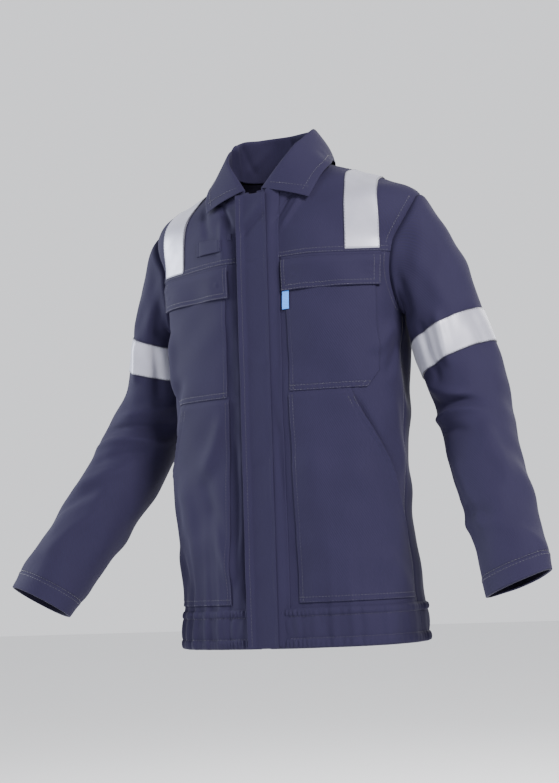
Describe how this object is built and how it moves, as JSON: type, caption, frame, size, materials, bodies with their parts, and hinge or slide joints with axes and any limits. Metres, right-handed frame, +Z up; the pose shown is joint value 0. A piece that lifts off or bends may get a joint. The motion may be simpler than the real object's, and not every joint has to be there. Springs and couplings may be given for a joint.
{
  "type": "work jacket",
  "caption": "Hip-length flame-retardant work jacket in a worn shape, with a storm flap over a front zip, flapped and slanted pockets, a shirt collar and reflective tapes.",
  "frame": {"origin": "where a hook bears on the hanger loop, inside the back of the neck", "axes": "+Z up, +X to the wearer's left, -Y to the wearer's front"},
  "size_m": [0.839, 0.2793, 0.7692],
  "materials": {
    "twill": "matt woven flame-retardant twill, navy",
    "lining_twill": "matt inner side of the navy twill",
    "reflective_tape": "silver retroreflective glass-bead tape on cloth",
    "zip_tape": "woven zip tape",
    "zip_metal": "satin zip metal",
    "stud_metal": "satin press stud",
    "label": "woven satin label, blank",
    "side_tag": "blue woven tag, blank"
  },
  "bodies": {
    "torso": {"front_panel_left": "twill", "front_panel_right": "twill", "back_panel": "twill", "front_yoke_left": "twill", "front_yoke_right": "twill", "back_yoke": "twill", "waistband_front_left": "twill", "waistband_front_right": "twill", "waistband_back": "twill", "front_facing_left": "lining_twill", "front_facing_right": "lining_twill", "neck_facing": "lining_twill", "size_label": "label", "band_elastic_left": "lining_twill", "band_elastic_right": "lining_twill", "zip_tape_left": "zip_tape", "zip_tape_right": "zip_tape", "zip_teeth_left": "zip_metal", "zip_teeth_right": "zip_metal", "zip_bottom_box": "zip_metal", "zip_top_stop": "zip_metal", "storm_flap_seam": "twill", "chest_pocket_left": "twill", "chest_pocket_right": "twill", "chest_flap_seam_left": "twill", "chest_flap_seam_right": "twill", "chest_stud_inner_left": "stud_metal", "chest_stud_inner_right": "stud_metal", "chest_stud_outer_left": "stud_metal", "chest_stud_outer_right": "stud_metal", "lower_pocket_left": "twill", "lower_pocket_right": "twill", "radio_loop": "twill", "side_tag": "side_tag", "neck_stud": "stud_metal", "shoulder_tape_left": "reflective_tape", "shoulder_tape_right": "reflective_tape", "collar_stand": "lining_twill", "collar_fall": "twill", "hanger_loop": "lining_twill"},
    "storm_flap": {"storm_flap": "twill"},
    "chest_flap_left": {"chest_flap_left": "twill"},
    "chest_flap_right": {"chest_flap_right": "twill"},
    "zip_slider": {"zip_slider": "zip_metal", "zip_pull": "zip_metal"},
    "left_sleeve": {"upper_sleeve_left": "twill", "sleeve_tape_left": "reflective_tape"},
    "left_forearm": {"lower_sleeve_left": "twill", "cuff_hem_left": "lining_twill"},
    "right_sleeve": {"upper_sleeve_right": "twill", "sleeve_tape_right": "reflective_tape"},
    "right_forearm": {"lower_sleeve_right": "twill", "cuff_hem_right": "lining_twill"}
  },
  "joints": [
    {"name": "storm_flap_hinge", "type": "hinge", "parent": "torso", "child": "storm_flap", "pos_m": [0.024, -0.16031, -0.39587], "axis": [0, 0.0335, 0.9994], "range_deg": [0, 105]},
    {"name": "chest_flap_left_hinge", "type": "hinge", "parent": "torso", "child": "chest_flap_left", "pos_m": [0.10352, -0.14015, -0.14582], "axis": [-0.9724, -0.2333, 0], "range_deg": [0, 120]},
    {"name": "chest_flap_right_hinge", "type": "hinge", "parent": "torso", "child": "chest_flap_right", "pos_m": [-0.10352, -0.14015, -0.14582], "axis": [-0.9724, 0.2333, 0], "range_deg": [0, 120]},
    {"name": "zip_slide", "type": "slide", "parent": "torso", "child": "zip_slider", "axis": [0, -0.0335, -0.9994], "range_m": [0, 0.6]},
    {"name": "left_sleeve_raise", "type": "hinge", "parent": "torso", "child": "left_sleeve", "pos_m": [0.2071, -0.04018, -0.06527], "axis": [0, -1, 0], "range_deg": [0, 60]},
    {"name": "right_sleeve_raise", "type": "hinge", "parent": "torso", "child": "right_sleeve", "pos_m": [-0.2071, -0.04018, -0.06527], "axis": [0, 1, 0], "range_deg": [0, 60]},
    {"name": "left_elbow_bend", "type": "hinge", "parent": "left_sleeve", "child": "left_forearm", "pos_m": [0.2748, -0.08181, -0.36345], "axis": [-0.9559, 0, -0.2936], "range_deg": [0, 85]},
    {"name": "right_elbow_bend", "type": "hinge", "parent": "right_sleeve", "child": "right_forearm", "pos_m": [-0.27114, -0.08149, -0.35885], "axis": [-0.9316, 0, 0.3634], "range_deg": [0, 85]}
  ]
}
